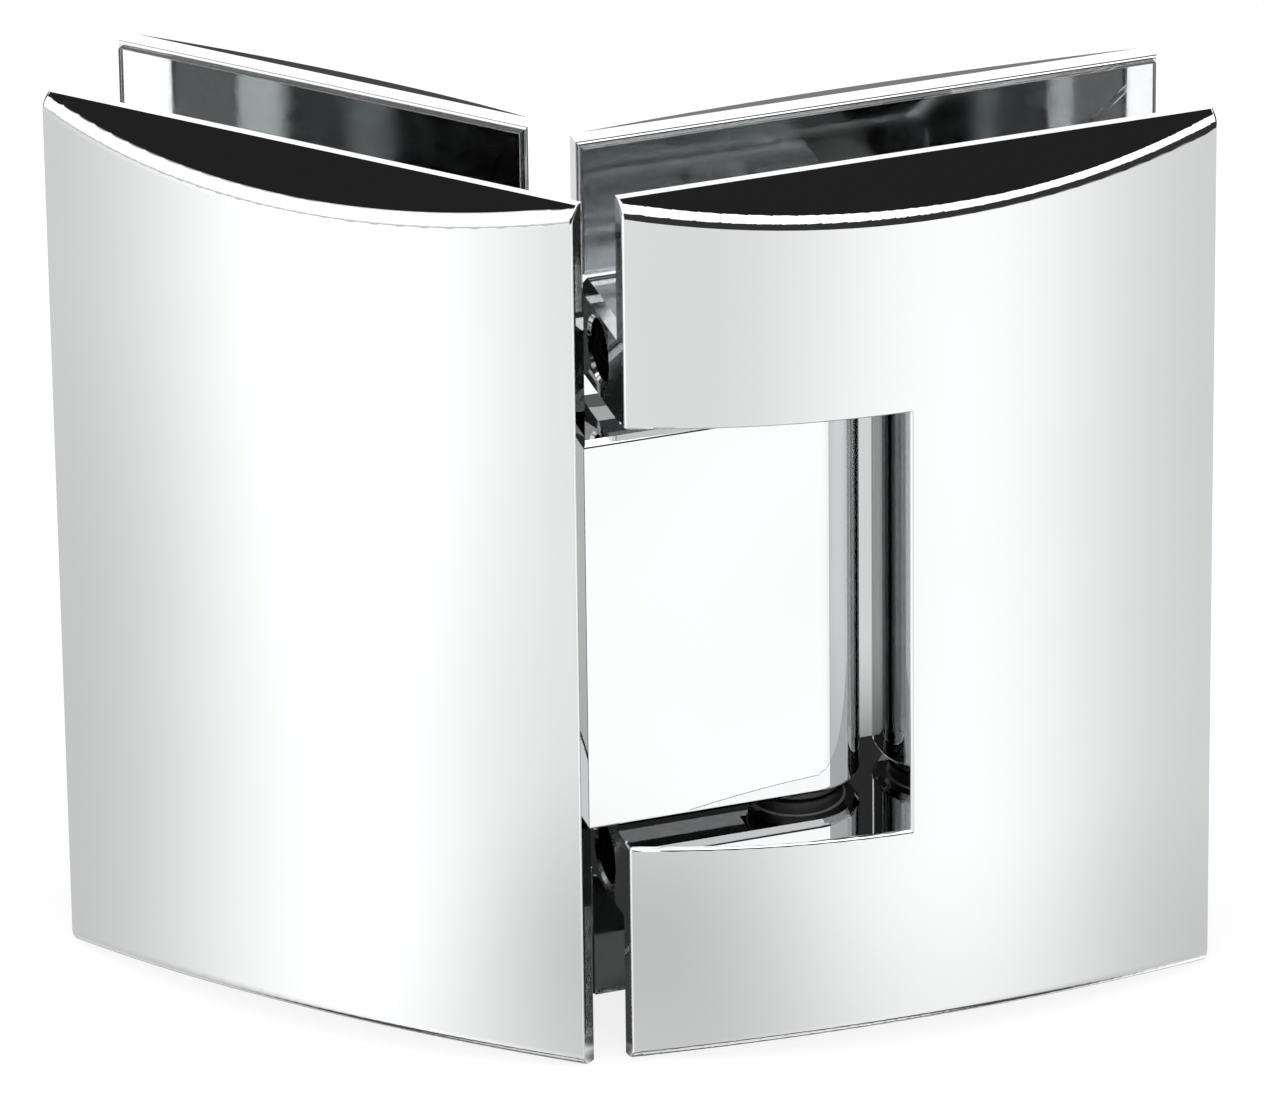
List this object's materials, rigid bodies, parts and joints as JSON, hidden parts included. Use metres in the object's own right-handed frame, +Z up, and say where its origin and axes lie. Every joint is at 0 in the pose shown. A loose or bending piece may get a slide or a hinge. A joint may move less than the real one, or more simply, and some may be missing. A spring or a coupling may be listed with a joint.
{
  "type": "glass shower door hinge",
  "caption": "Glass-to-glass shower door hinge for panels at 135 degrees: arched clamp plates on both sides of each pane, swinging on a pivot block with a spring detent.",
  "frame": {"origin": "centre of the fixed half's outer glass seat, at mid height, on the glass's outer face", "axes": "+Z up along the pivot axis, X along the fixed glass panel with the fixed half towards -X, +Y from the outer glass face inwards, so -Y is outside the corner"},
  "size_m": [0.0995, 0.0595, 0.09],
  "materials": {
    "chrome": "polished",
    "clear_pvc": "gloss",
    "screw_steel": "satin",
    "black_steel": "satin",
    "pin_steel": "satin",
    "acetal": "satin",
    "spring_steel": "satin",
    "nylon": "satin"
  },
  "bodies": {
    "fixed_half": {"fixed_front_plate": "chrome", "fixed_back_plate": "chrome", "fixed_front_gasket": "clear_pvc", "fixed_back_gasket": "clear_pvc", "fixed_clamp_screws": "screw_steel", "pivot_block": "chrome", "pivot_block_screws": "screw_steel", "upper_bush": "nylon", "lower_bush": "nylon", "upper_thrust_washer": "acetal", "lower_thrust_washer": "acetal", "detent_leaves": "spring_steel"},
    "door_half": {"door_front_plate": "chrome", "door_back_plate": "chrome", "door_front_gasket": "clear_pvc", "door_back_gasket": "clear_pvc", "door_clamp_screws": "screw_steel", "door_screw_sleeves": "nylon", "pivot_pin": "pin_steel", "upper_grub_screw": "black_steel", "lower_grub_screw": "black_steel"}
  },
  "joints": [
    {"name": "door_swing", "type": "hinge", "parent": "fixed_half", "child": "door_half", "pos_m": [0.039, 0.0192, 0], "axis": [0, 0, 1], "range_deg": [-90, 90], "deforming": ["detent_leaves"]}
  ]
}
